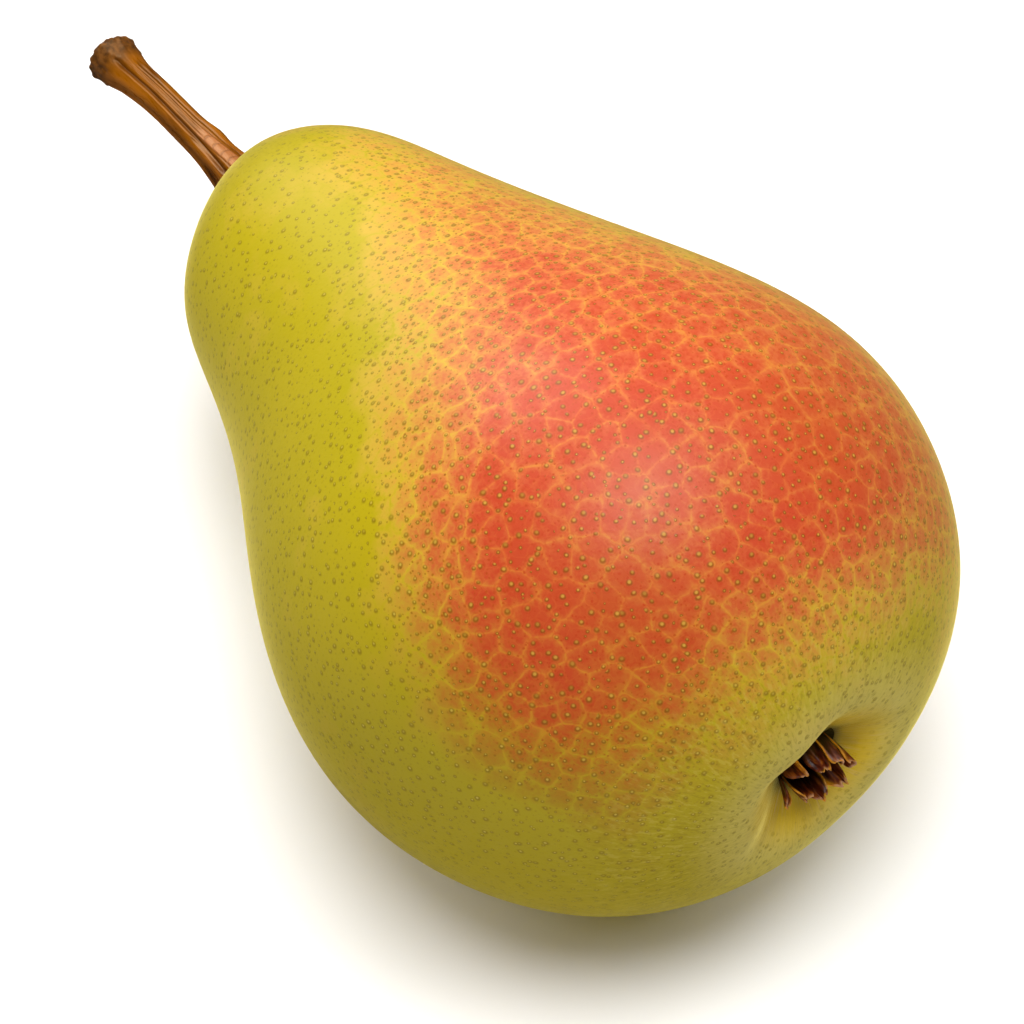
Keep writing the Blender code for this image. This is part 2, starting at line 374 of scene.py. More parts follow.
def shape_ring(piece, ring, share):
    """Scales, tilts and moves one ring of the ball to its station on the core line."""
    bm = bmesh.from_edit_mesh(piece.data)
    bm.verts.ensure_lookup_table()
    start = sum((bm.verts[i].co for i in ring), Vector()) / len(ring)
    width = (bm.verts[ring[0]].co - start).length

    core = CALYX_END - LENGTH * share
    radius = LENGTH * girth_at(share) * math.sqrt(share * (1 - share))
    tilt = math.atan(lean_at(core)) if len(ring) > 1 else 0.0
    along = core
    if core > 0:
        along -= basin(radius)
    else:
        along += DIMPLE_DEPTH * math.exp(-((radius / DIMPLE_RADIUS) ** 2))
    centre = Vector((along, sway_at(core), 0)) * MM

    pick_points(piece, ring)
    if len(ring) > 1:
        size = radius * MM / width
        bpy.ops.transform.resize(value=(1, size / math.cos(tilt), size), center_override=start)
        bpy.ops.transform.rotate(value=tilt, orient_axis="Z", center_override=start)
    bpy.ops.transform.translate(value=centre - start)


def shape_fruit_surface(piece):
    """Lets the fruit sag under its weight and lays soft folds round its basin."""
    points = points_of(piece)
    x, y, z = points.T
    y = y - sway_at(x)
    angle = np.arctan2(z, y)
    radius = np.hypot(y, z)

    down = rest_turn.transposed() @ Vector((0, 0, -1))
    underneath = np.clip(down.y * np.cos(angle) + down.z * np.sin(angle), 0, 1) ** 2
    swelling = SAG_DEPTH * underneath * hill(x, SAG_AT, SAG_SPREAD)

    fold = np.cos(FOLDS * (angle - FOLD_ANGLE))
    folded = basin(radius, BASIN_RADIUS * (1 - FOLD_SHARE * fold))
    rise = basin(radius) - folded + FOLD_HEIGHT * fold * hill(radius, FOLD_RADIUS, FOLD_SPREAD)
    points[:, 0] += np.where(x > CALYX_SIDE, rise, 0)
    points[:, 1] += swelling * np.cos(angle)
    points[:, 2] += swelling * np.sin(angle)
    set_points(piece, points)


def blush_over(points):
    """How red the skin is: the sun side, fading out towards the shade, the neck and the calyx."""
    x, y, z = points.T
    y = y - sway_at(x)
    angle = np.degrees(np.arctan2(z, y))
    radius = np.hypot(y, z)
    shade_side = np.radians(wrapped(blush_edge_at(x) - angle)) * radius
    calyx_side = (BLUSH_END - x) * BLUSH_END_HASTE
    inside = np.logaddexp(-shade_side / BLUSH_CORNER, -calyx_side / BLUSH_CORNER) * -BLUSH_CORNER
    tables = (BLUSH_FAR_EDGE, BLUSH_FADE, BLUSH_DEPTH)
    far_edge, fade, depth = (np.interp(x, *np.array(table).T) for table in tables)
    past = wrapped(angle) - far_edge
    far_side = FAR_REDNESS + (1 - FAR_REDNESS) * smooth_step(-30, 30, past)
    far_side *= smooth_step(-110, -30, past) * (angle < BLUSH_SEAM)
    return smooth_step(-1, 1, inside / fade) * far_side * depth


def belt_over(points):
    """The ways down the pear from its stem end and round it, which the net is laid out on."""
    x, y, z = points.T
    share = np.linspace(0, 1, BELT_STATIONS)
    core = CALYX_END - LENGTH * share
    radius = LENGTH * girth_at(share) * np.sqrt(share * (1 - share))
    passed = np.concatenate([[0], np.cumsum(np.hypot(np.diff(core), np.diff(radius)))])
    down = np.interp(x, core[::-1], (passed[-1] - passed)[::-1])
    return down, np.arctan2(z, y - sway_at(x)) * BELT_RADIUS


def olive_and_painted_shade_over(points):
    """How much olive ground colour shows at each point: the fruit's own greener side, with painted
    shade darkening its lower side.
    """
    x, y, z = points.T
    angle = np.degrees(np.arctan2(z, y - sway_at(x)))
    turned = smooth_step(60, 150, wrapped(angle - 20) + 20)
    return smooth_step(-25, 22, x) * (LEAST_OLIVE_AND_PAINTED_SHADE + (1 - LEAST_OLIVE_AND_PAINTED_SHADE) * turned)


def calyx_wall_over(points):
    """How much each point belongs to the basin's wall, to its hollow, painted dark as painted shade,
    and to its lip, painted paler as a painted sheen.
    """
    x, y, z = points.T
    radius = np.hypot(y - sway_at(CALYX_END), z)
    at_calyx = smooth_step(CALYX_SIDE, 20, x)
    wall = at_calyx * plateau(radius, *WALL_ZONE)
    hollow_shade = at_calyx * (1 - smooth_step(*HOLLOW_SHADE_ZONE, radius))
    return wall, hollow_shade, at_calyx * plateau(radius, *LIP_SHEEN_ZONE)


def make_fruit():
    clear_selection()
    bpy.ops.mesh.primitive_uv_sphere_add(
        segments=FRUIT_SEGMENTS, ring_count=FRUIT_RINGS, radius=1, rotation=(0, math.pi / 2, 0)
    )
    fruit = finish_primitive("pear_fruit")
    rings = {}
    for vertex in fruit.data.vertices:
        rings.setdefault(round(vertex.co.x, 4), []).append(vertex.index)

    bpy.ops.object.mode_set(mode="EDIT")
    for height, ring in rings.items():
        polar = math.acos(max(-1, min(1, height)))
        polar -= CROWDING / 2 * math.sin(2 * polar)
        shape_ring(fruit, ring, (1 - math.cos(polar)) / 2)
    bpy.ops.object.mode_set(mode="OBJECT")

    subdivide_smoothly(fruit, 2)
    shape_fruit_surface(fruit)
    keep_shade(fruit, "blush", blush_over(points_of(fruit)))
    keep_shade(fruit, "olive_and_painted_shade", olive_and_painted_shade_over(points_of(fruit)))
    down, round_it = belt_over(points_of(fruit))
    keep_shade(fruit, "down", down)
    keep_shade(fruit, "round", round_it)
    for name, values in zip(("wall", "hollow_shade", "lip_sheen"), calyx_wall_over(points_of(fruit))):
        keep_shade(fruit, name, values)
    lay_to_rest(fruit)

    bpy.ops.object.mode_set(mode="EDIT")
    bpy.ops.mesh.select_all(action="SELECT")
    bpy.ops.mesh.bisect(
        plane_co=(0, 0, 0), plane_no=(0, 0, 1), clear_inner=True, use_fill=True, threshold=1e-6
    )
    bpy.ops.mesh.select_all(action="SELECT")
    bpy.ops.mesh.normals_make_consistent(inside=False)
    bpy.ops.object.mode_set(mode="OBJECT")
    bpy.ops.object.shade_smooth()
    fruit.data.materials.append(skin_material())
    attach(fruit, "root")
    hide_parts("fruit")
    return fruit


# Stem


def stem_relief(angle, out):
    """How far the stem's surface stands out from its round form, and how deep in a groove it is, for
    painted shade.
    """
    rise = np.zeros(len(out))
    groove_shade = np.zeros(len(out))
    for at, drift, width, depth, low, high in GROOVES:
        near = hill(wrapped(angle - at - drift * (out - GROOVE_MIDDLE)), 0, width)
        reach = plateau(out, low - 1, low + 1.5, high - 1.5, high + 1)
        rise -= depth * near * reach
        groove_shade = np.maximum(groove_shade, near * reach * min(1, depth / FULL_GROOVE_SHADE))
    rise *= np.clip(plateau(out, -1.5, 1, 19.5, 21.5) + 0.3, 0, 1)
    upper_side = np.clip(np.cos(np.radians(angle)), 0, 1) ** 2
    rise += KNUCKLE_HEIGHT * hill(out, KNUCKLE_AT, KNUCKLE_SPREAD) * upper_side
    return rise, groove_shade


def head_lumps(points, angle, out):
    """The head's rims of small knobs, and the warts and pits over its end."""
    chance = np.random.default_rng(SEED)
    spots = []
    for count, scatter, far, spread, lowest, highest in KNOB_RIMS:
        for i in range(count):
            at = 360 * i / count + chance.uniform(-scatter, scatter)
            spots.append((at, far, spread, chance.uniform(lowest, highest)))
    for _ in range(WARTS):
        at, far = chance.uniform(0, 360), chance.uniform(WARTS_FROM, WARTS_TO)
        spots.append((at, far, WART_SPREAD, chance.choice(WART_HEIGHTS)))

    lumps = np.zeros(len(out))
    for at, far, spread, height in spots:
        nearest = np.argmin(np.abs(wrapped(angle - at)) / 12 + np.abs(out - far))
        lumps += height * np.exp(-((points - points[nearest]) ** 2).sum(axis=1) / spread**2)
    return lumps


def bark_band_over(angle, out):
    """The pale, bare bark at the stem's foot, and the cracks that run round it and across, which are
    darkened with painted shade.
    """
    side = wrapped(angle - BARK_ANGLE - BARK_TWIST * (out - 3)) / BARK_HALF_WIDTH
    length = plateau(out, -3, -1, 5.2, 7.4)
    band = (1 - smooth_step(0.75, 1.0, np.abs(side))) * length
    cracks = hill(np.abs(side), 0.95, 0.13) * length
    for at, bow in BARK_CRACKS:
        crack = hill(out, at + bow * (1 - side**2), BARK_CRACK_WIDTH) * band
        cracks = np.maximum(cracks, crack)
    return band, cracks


def make_stem():
    clear_selection()
    start = Vector((STEM_END + STEM_ROOT, spine_y_at(-STEM_ROOT), spine_z_at(-STEM_ROOT))) * MM
    radius = stem_radius_at(-STEM_ROOT)
    bpy.ops.mesh.primitive_circle_add(
        vertices=STEM_SEGMENTS,
        radius=radius * MM,
        fill_type="NGON",
        location=start,
        rotation=(0, math.pi / 2, 0),
    )
    stem = finish_primitive("pear_stem")
    bpy.ops.object.mode_set(mode="EDIT")
    bpy.ops.mesh.select_all(action="SELECT")
    here = start
    out = -STEM_ROOT
    while out < STEM_LENGTH - 0.02:
        out = min(out + min(STEM_STEP, (STEM_LENGTH - out) * 0.5 + 0.01), STEM_LENGTH)
        there = Vector((STEM_END - out, spine_y_at(out), spine_z_at(out))) * MM
        left = min((STEM_LENGTH - out) / STEM_ROUNDING, 1)
        rounding = math.sqrt(1 - (1 - left) ** 2)
        new_radius = max(stem_radius_at(out) * rounding, STEM_TIP_RADIUS)
        bpy.ops.mesh.extrude_region_move(TRANSFORM_OT_translate={"value": there - here})
        size = new_radius / radius
        bpy.ops.transform.resize(value=(1, size, size), center_override=there)
        here, radius = there, new_radius
    bpy.ops.mesh.select_all(action="SELECT")
    bpy.ops.mesh.normals_make_consistent(inside=False)
    bpy.ops.object.mode_set(mode="OBJECT")
    subdivide_smoothly(stem, 1)

    points = points_of(stem)
    out = STEM_END - points[:, 0]
    y = points[:, 1] - spine_y_at(out)
    z = points[:, 2] - spine_z_at(out)
    angle = np.degrees(np.arctan2(z, y))
    rise, groove_shade = stem_relief(angle, out)
    band, cracks = bark_band_over(angle, out)
    rise = (rise - BARK_CRACK_DEPTH * cracks) * smooth_step(0, 1.2, np.hypot(y, z))
    points[:, 1] += rise * np.cos(np.radians(angle))
    points[:, 2] += rise * np.sin(np.radians(angle))
    set_points(stem, points)
    lumps = head_lumps(points, angle, out)
    facing = np.array([tuple(vertex.normal) for vertex in stem.data.vertices])
    points += facing * lumps[:, None]
    points[:, 0] = np.maximum(points[:, 0], STEM_END - STEM_LENGTH + HEAD_TRIM)
    set_points(stem, points)
    pits = (1 - smooth_step(-0.07, 0.05, lumps)) * smooth_step(20.5, 22, out)
    # Grooves, pits and cracks darken the stem's colour: painted shade in its hollows
    keep_shade(stem, "groove_shade", np.max([groove_shade, 0.7 * pits, 0.6 * cracks], axis=0))
    keep_shade(stem, "band", band)
    keep_shade(stem, "out", out)
    lay_to_rest(stem)
    bpy.ops.object.shade_smooth()
    stem.data.materials.append(stem_material())
    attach(stem, "root")
    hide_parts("stem")
    return stem


# Calyx


def make_sepal(index, angle, length, width, lean, curl, fold, gilt):
    """A dried leaf, folded inwards along its middle, with wavy edges and a ragged tip."""
    clear_selection()
    bpy.ops.mesh.primitive_grid_add(x_subdivisions=14, y_subdivisions=16, size=2)
    sepal = finish_primitive(f"sepal_{index}")
    sheet = points_of(sepal) * MM
    chance = np.random.default_rng(SEED + index)
    across = sheet[:, 0]
    along = (sheet[:, 1] + 1) / 2
    phase = chance.uniform(0, ANY_PHASE, 4)
    tears = np.interp(across, np.linspace(-1, 1, 9), chance.uniform(-1, 0, 9))
    ragged = 1 + along**6 * 0.16 * tears
    half = width / 2 * SEPAL_SPREAD * np.interp(along, *np.array(SEPAL_OUTLINE).T)
    height = (length + SEPAL_ROOT) * along * ragged - SEPAL_ROOT
    wing = np.abs(across)
    out = SEPAL_RADIUS + lean * height - curl * length * along**3
    folded = wing**1.2 * (0.2 + 0.8 * along) * (1 + 0.3 * np.sin(phase[0] + 2 * across))
    out -= fold * half * folded
    out += 0.09 * np.cos(across * 8 + phase[1]) * along
    out += 0.2 * np.sin(7 * along + phase[2]) * wing**3 * along
    side = half * across + 0.12 * np.sin(6 * along + phase[3]) * along
    cos, sin = math.cos(angle), math.sin(angle)
    y = sway_at(CALYX_END) + out * cos - side * sin
    set_points(sepal, np.stack([CALYX_FLOOR + height, y, out * sin + side * cos], axis=1))
    margin = wing**6 * np.where(across * gilt > 0, 1, 0.35)
    margin += abs(gilt) * smooth_step(0.1, 0.5, across * np.sign(gilt)) * along
    keep_shade(sepal, "edge", np.clip(np.maximum(margin, along**10), 0, 1))
    keep_shade(sepal, "tip", along)
    thicken(sepal, SEPAL_THICKNESS, 0)
    subdivide_smoothly(sepal, 1)
    return sepal


def make_calyx():
    clear_selection()
    bpy.ops.mesh.primitive_cylinder_add(
        vertices=48,
        radius=RING_RADIUS * MM,
        depth=RING_HEIGHT * MM,
        location=Vector((CALYX_FLOOR - RING_SINK, sway_at(CALYX_END), 0)) * MM,
        rotation=(0, math.pi / 2, 0),
    )
    ring = finish_primitive("pear_calyx")
    bpy.ops.object.mode_set(mode="EDIT")
    bm = bmesh.from_edit_mesh(ring.data)
    for face in bm.faces:
        face.select = face.normal.x > 0.9
    bmesh.update_edit_mesh(ring.data)
    bpy.ops.mesh.inset(thickness=RING_RIM * MM)
    bpy.ops.transform.translate(value=(-RING_HOLLOW * MM, 0, 0))
    bpy.ops.mesh.inset(thickness=1.0 * MM)
    bpy.ops.object.mode_set(mode="OBJECT")
    keep_shade(ring, "edge", np.zeros(len(ring.data.vertices)))
    # With its tip at nought, the whole ring takes the near black of the sepals' roots: painted shade
    keep_shade(ring, "tip", np.zeros(len(ring.data.vertices)))
    sepals = [make_sepal(i, math.radians(sepal[0]), *sepal[1:]) for i, sepal in enumerate(SEPALS)]
    clear_selection()
    for piece in (*sepals, ring):
        piece.select_set(True)
    bpy.context.view_layer.objects.active = ring
    bpy.ops.object.join()
    lay_to_rest(ring)
    bpy.ops.object.shade_smooth()
    ring.data.materials.clear()
    ring.data.materials.append(calyx_material())
    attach(ring, "root")
    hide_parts("calyx")
    return ring


# Materials

# Ground colours: the sunny side, and the darker olive side, which is partly painted shade
SUNNY_GROUND = (204, 182, 12)
OLIVE_PAINTED_SHADE_GROUND = (188, 164, 1)

# The blush's colours by redness, in its cells and on the lines between them: a bright set for the
# sunny side, and a darker olive set for the shaded side, which is partly painted shade
# Its peach and salmon tints are partly the blush's own colour and partly a painted highlight
BRIGHT_FILL_AND_PAINTED_HIGHLIGHT = (
    (0.04, SUNNY_GROUND),
    (0.14, (228, 188, 62)),
    (0.28, (234, 173, 68)),
    (0.5, (232, 143, 70)),
    (0.75, (226, 106, 66)),
    (1.0, (214, 78, 48)),
)
OLIVE_PAINTED_SHADE_FILL = (
    (0.05, OLIVE_PAINTED_SHADE_GROUND),
    (0.25, (180, 134, 4)),
    (0.5, (186, 112, 8)),
    (0.75, (200, 88, 20)),
    (1.0, (204, 70, 32)),
)
BRIGHT_LINE = (
    (0.05, SUNNY_GROUND),
    (0.3, (236, 192, 62)),
    (0.6, (238, 160, 70)),
    (1.0, (228, 108, 56)),
)
OLIVE_PAINTED_SHADE_LINE = (
    (0.05, OLIVE_PAINTED_SHADE_GROUND),
    (0.3, (194, 156, 10)),
    (0.6, (206, 140, 22)),
    (1.0, (218, 106, 40)),
)
BLUSH_CELL = 2.75
FINE_CELL = 1.25
FRECKLE_CELL = 1.3
SPECK_CELL = 0.6


def colour(red, green, blue):
    """A colour named by its value on screen, as a shader takes it."""
    shown = [value / 255 for value in (red, green, blue)]
    return *(c / 12.92 if c <= 0.04045 else ((c + 0.055) / 1.055) ** 2.4 for c in shown), 1.0


class Finish:
    """A material, built up step by step. Each step gives the socket that carries its result."""

    def __init__(self, name):
        self.material = bpy.data.materials.new(name)
        self.material.use_nodes = True
        self.nodes = self.material.node_tree.nodes
        self.links = self.material.node_tree.links
        self.shader = self.nodes["Principled BSDF"]

    def put(self, node, key, value):
        socket = node.inputs[key]
        if isinstance(value, bpy.types.NodeSocket):
            self.links.new(value, socket)
        elif value is not None:
            socket.default_value = value

    def node(self, kind, settings, **inputs):
        made = self.nodes.new(kind)
        for key, value in settings.items():
            setattr(made, key, value)
        for key, value in inputs.items():
            self.put(made, key.replace("_", " "), value)
        return made

    def place(self):
        """Where a point is on the pear, in millimetres along its own directions."""
        source = self.nodes.new("ShaderNodeTexCoord").outputs["Object"]
        mapping = self.node("ShaderNodeMapping", {"vector_type": "TEXTURE"}, Vector=source)
        mapping.inputs["Location"].default_value = Vector(BELLY_PLACE) * MM
        mapping.inputs["Rotation"].default_value = (ROLL, -PITCH, 0)
        mapping.inputs["Scale"].default_value = (MM, MM, MM)
        return mapping.outputs["Vector"]

    def facing(self):
        """The way that the surface faces, along the pear's own directions."""
        source = self.nodes.new("ShaderNodeTexCoord").outputs["Normal"]
        mapping = self.node("ShaderNodeMapping", {"vector_type": "TEXTURE"}, Vector=source)
        mapping.inputs["Rotation"].default_value = (ROLL, -PITCH, 0)
        return mapping.outputs["Vector"]

    def vector(self, operation, first, second=None, result="Vector"):
        made = self.node("ShaderNodeVectorMath", {"operation": operation})
        self.put(made, 0, first)
        self.put(made, 1, second)
        return made.outputs[result]

    def scaled(self, vector, scale):
        settings = {"operation": "SCALE"}
        made = self.node("ShaderNodeVectorMath", settings, Vector=vector, Scale=scale)
        return made.outputs["Vector"]

    def length(self, vector):
        return self.vector("LENGTH", vector, result="Value")

    def freckles(self, place, facing, size):
        """The way along the skin from the nearest freckle, its length, and that freckle's chances."""
        nearest = self.cells(place, size, "F1", 0.85)
        offset = self.vector("SUBTRACT", place, nearest["Position"])
        off = self.vector("DOT_PRODUCT", offset, facing, "Value")
        flat = self.vector("SUBTRACT", offset, self.scaled(facing, off))
        hidden = self.between(self.maths("ABSOLUTE", off), 0.36 * size, 0.5 * size, 1.0, 1.8)
        return flat, self.times(self.length(flat), hidden), self.chances(nearest)

    def net(self, belt, size, regular):
        """How far a point is from its cell's edge and from its middle, and that cell's chances."""
        nearest, next_one = (self.cells(belt, size, which, regular, "2D") for which in ("F1", "F2"))
        apart = self.maths("SUBTRACT", next_one["Distance"], nearest["Distance"])
        middle = self.times(nearest["Distance"], size)
        return self.times(apart, size / 2), middle, self.chances(nearest)

    def chances(self, cell):
        """Three random numbers for each cell."""
        return self.node("ShaderNodeSeparateColor", {}, Color=cell["Color"]).outputs

    def stretched(self, vector, scale):
        mapping = self.node("ShaderNodeMapping", {}, Vector=vector)
        mapping.inputs["Scale"].default_value = scale
        return mapping.outputs["Vector"]

    def stored(self, name):
        return self.node("ShaderNodeAttribute", {"attribute_name": name}).outputs["Fac"]

    def noise(self, vector, size, detail=2.0, rough=0.5):
        settings = {"Vector": vector, "Scale": 1 / size, "Detail": detail, "Roughness": rough}
        return self.node("ShaderNodeTexNoise", {}, **settings).outputs["Fac"]

    def wander(self, vector, size, amount):
        """The vector, shifted about by a soft noise."""
        made = self.node("ShaderNodeTexNoise", {}, Vector=vector, Scale=1 / size, Detail=1.0)
        centred = self.vector("SUBTRACT", made.outputs["Color"], (0.5, 0.5, 0.5))
        return self.vector("ADD", vector, self.scaled(centred, amount))

    def cells(self, vector, size, feature, randomness=1.0, dimensions="3D"):
        settings = {"feature": feature, "voronoi_dimensions": dimensions}
        inputs = {"Vector": vector, "Scale": 1 / size, "Randomness": randomness}
        return self.node("ShaderNodeTexVoronoi", settings, **inputs).outputs

    def maths(self, operation, first, second=None, third=None):
        made = self.node("ShaderNodeMath", {"operation": operation})
        for key, value in enumerate((first, second, third)):
            self.put(made, key, value)
        return made.outputs["Value"]

    def times(self, first, second):
        return self.maths("MULTIPLY", first, second)

    def between(self, value, low, high, to_low=0.0, to_high=1.0):
        made = self.node("ShaderNodeMapRange", {"interpolation_type": "SMOOTHSTEP"}, Value=value)
        keys = ("From Min", "From Max", "To Min", "To Max")
        for key, number in zip(keys, (low, high, to_low, to_high)):
            self.put(made, key, number)
        return made.outputs["Result"]

    def ramp(self, value, stops):
        made = self.node("ShaderNodeValToRGB", {}, Fac=value)
        elements = made.color_ramp.elements
        while len(elements) < len(stops):
            elements.new(0.5)
        for element, (at, shade) in zip(elements, stops):
            element.position = at
            element.color = colour(*shade)
        return made.outputs["Color"]

    def mix(self, share, first, second, blend="MIX"):
        made = self.node("ShaderNodeMix", {"data_type": "RGBA", "blend_type": blend})
        for key, value in ((0, share), (6, first), (7, second)):
            self.put(made, key, value)
        return made.outputs[2]

    def bump(self, height, depth):
        made = self.node("ShaderNodeBump", {}, Height=height, Distance=depth * MM, Strength=1.0)
        return made.outputs["Normal"]


def blush_net(skin, place, blush):
    """The paler lines between the blush's rounded cells, and how much redder each cell is."""
    belt = skin.node("ShaderNodeCombineXYZ", {}, X=skin.stored("down"), Y=skin.stored("round"))

    def net_of(size, regular, wave, amount):
        drift = skin.vector("SUBTRACT", skin.wander(place, wave, amount), place)
        return skin.net(skin.vector("ADD", belt.outputs["Vector"], drift), size, regular)

    edge, middle, cell = net_of(BLUSH_CELL, 0.72, 1.6, 0.8)
    fine_edge, _, _ = net_of(FINE_CELL, 1.0, 0.7, 0.5)
    strength = skin.between(skin.noise(place, 3.5, 1.0), 0.32, 0.62, 0.3, 0.75)
    strength = skin.times(strength, skin.between(blush, 0.8, 1.0, 1.0, 0.72))
    line = skin.times(skin.between(edge, 0.02, 0.17, 1.0, 0.0), strength)
    line = skin.maths("MAXIMUM", line, skin.between(fine_edge, 0.0, 0.1, 0.2, 0.0))
    line = skin.maths("ADD", line, skin.between(edge, 0.0, 0.55, 0.16, 0.0))
    line = skin.maths("ADD", line, skin.between(middle, 1.2, 1.9, 0.0, 0.28))
    tint = skin.between(cell["Red"], 0, 1, -0.06, 0.06)
    tint = skin.maths("ADD", tint, skin.between(edge, 0.0, 0.9, -0.08, 0.05))
    return skin.maths("MINIMUM", line, 0.9), tint


def ground_and_blush(skin, place, blush, mottle):
    """The skin's colour without its spots: the ground, the blush with its net, and a paler ring at
    the lip, which is a painted sheen.
    """
    line, tint = blush_net(skin, place, blush)
    patches = skin.noise(place, 9.0, 3.0)
    redness = skin.maths("ADD", blush, skin.between(patches, 0.3, 0.7, -0.08, 0.08))
    spread = skin.between(blush, 0.02, 0.4)
    for change in (tint, skin.between(mottle, 0.3, 0.7, -0.1, 0.1)):
        redness = skin.maths("MULTIPLY_ADD", change, spread, redness)

    # The darker olive ramps take over under the olive mark: partly the fruit's own colour, partly
    # painted shade
    olive_and_painted_shade = skin.stored("olive_and_painted_shade")
    fill = skin.mix(olive_and_painted_shade, skin.ramp(redness, BRIGHT_FILL_AND_PAINTED_HIGHLIGHT), skin.ramp(redness, OLIVE_PAINTED_SHADE_FILL))
    net = skin.mix(olive_and_painted_shade, skin.ramp(redness, BRIGHT_LINE), skin.ramp(redness, OLIVE_PAINTED_SHADE_LINE))
    tone = skin.mix(line, fill, net)
    green = skin.between(skin.noise(place, 22.0, 2.0), 0.3, 0.7, 0.0, 0.12)
    tone = skin.mix(green, tone, colour(146, 144, 2))
    # A paler ring round the basin's lip: a painted sheen
    return skin.mix(skin.times(skin.stored("lip_sheen"), 0.6), tone, colour(222, 202, 110))


def add_specks(skin, tone, place, facing, blush):
    """Small specks and strokes, dark red in the blush and olive outside it."""
    _, away, chance = skin.freckles(skin.wander(place, 0.4, 0.2), facing, SPECK_CELL)
    speck = skin.between(away, 0.05, 0.17, 1.0, 0.0)
    speck = skin.times(speck, skin.between(chance["Red"], 0.2, 1.0, 0.0, 0.85))
    speck = skin.times(speck, skin.between(blush, 0.0, 0.3, 0.4, 1.0))
    return skin.mix(speck, tone, skin.mix(blush, colour(150, 122, 0), colour(200, 66, 24)))


def add_freckles(skin, tone, place, facing, blush, along):
    """Freckles: a pale centre in a soft brown ring, drawn thicker on its lower side as painted shade
    of the raised freckle.
    """
    offset, away, chance = skin.freckles(skin.wander(place, 3.0, 0.5), facing, FRECKLE_CELL)
    kept = skin.maths("GREATER_THAN", chance["Blue"], skin.between(along, -40, -5, 0.22, 0.05))
    size = skin.between(chance["Red"], 0.0, 1.0, 0.75, 1.2)
    away = skin.maths("DIVIDE", away, size)
    # The ring is measured from a centre shifted towards one fixed side, so it is thicker there:
    # painted shade
    below = skin.length(skin.vector("SUBTRACT", offset, (0.05, -0.05, -0.03)))
    below = skin.maths("MAXIMUM", skin.maths("DIVIDE", below, size), skin.times(away, 0.85))

    halo = skin.times(skin.between(away, 0.32, 0.44), skin.between(away, 0.46, 0.6, 1.0, 0.0))
    halo = skin.times(halo, skin.between(blush, 0.1, 0.8, 0.0, 0.32))
    tone = skin.mix(halo, tone, colour(200, 66, 26))

    ring_with_painted_shade = skin.times(skin.between(below, 0.12, 0.35, 1.0, 0.0), kept)
    ring_with_painted_shade = skin.times(ring_with_painted_shade, skin.between(blush, 0.0, 0.6, 0.62, 0.8))
    tone = skin.mix(ring_with_painted_shade, tone, skin.mix(blush, colour(130, 102, 0), colour(130, 76, 6)))

    reach = skin.between(blush, 0.0, 1.0, 0.15, 0.21)
    centre = skin.times(skin.between(away, 0.05, reach, 1.0, 0.0), kept)
    centre = skin.times(centre, skin.between(chance["Green"], 0.0, 1.0, 0.4, 0.9))
    tone = skin.mix(centre, tone, skin.mix(blush, colour(212, 192, 74), colour(222, 164, 66)))
    return tone, skin.times(skin.between(away, 0.0, 0.3, 0.2, 0.0), kept)


def add_streaks(skin, tone, place, along):
    """Fine pores, drawn out into streaks that run to the stem and to the calyx."""
    axis = skin.vector("MULTIPLY", skin.vector("SUBTRACT", place, (0, 1, 0)), (0, 1, 1))
    around = skin.scaled(skin.vector("NORMALIZE", axis), 45)
    inwards = skin.node("ShaderNodeCombineXYZ", {}, X=skin.length(axis)).outputs["Vector"]
    streak = skin.noise(skin.vector("ADD", around, inwards), 1.0, 2.0, 0.6)
    at_stem = skin.between(along, -66, -54, 0.6, 0.0)
    at_ends = skin.maths("MAXIMUM", skin.between(along, 20, 27, 0.0, 0.6), at_stem)
    light = skin.times(skin.between(streak, 0.52, 0.66, 0.0, 0.45), at_ends)
    dark = skin.times(skin.between(streak, 0.34, 0.46, 0.45, 0.0), at_ends)
    tone = skin.mix(light, tone, colour(222, 202, 90))
    return skin.mix(dark, tone, colour(136, 112, 0))


def add_basin(skin, tone, place):
    """The calyx end: a golden wall, painted lighter as painted light, with pale wrinkles that run
    down into a hollow painted dark as painted shade.
    """
    wall = skin.stored("wall")
    spoke = skin.vector("SUBTRACT", skin.vector("MULTIPLY", place, (0, 1, 1)), (0, 3.3, 0))
    wave = skin.scaled(skin.wander(place, 3.0, 1.0), 0.01)
    spoke = skin.vector("ADD", skin.vector("NORMALIZE", spoke), wave)
    wrinkle = skin.noise(spoke, 0.06, 3.0, 0.6)
    # The wall's light gold is partly its own colour and partly painted light
    tone = skin.mix(skin.times(wall, 0.85), tone, colour(226, 184, 20))
    pale = skin.times(skin.between(wrinkle, 0.52, 0.7), wall)
    tone = skin.mix(skin.times(pale, 0.4), tone, colour(222, 184, 124))
    # Near black deep in the basin: painted shade
    tone = skin.mix(skin.stored("hollow_shade"), tone, colour(26, 12, 3))
    return tone, skin.times(wrinkle, wall)


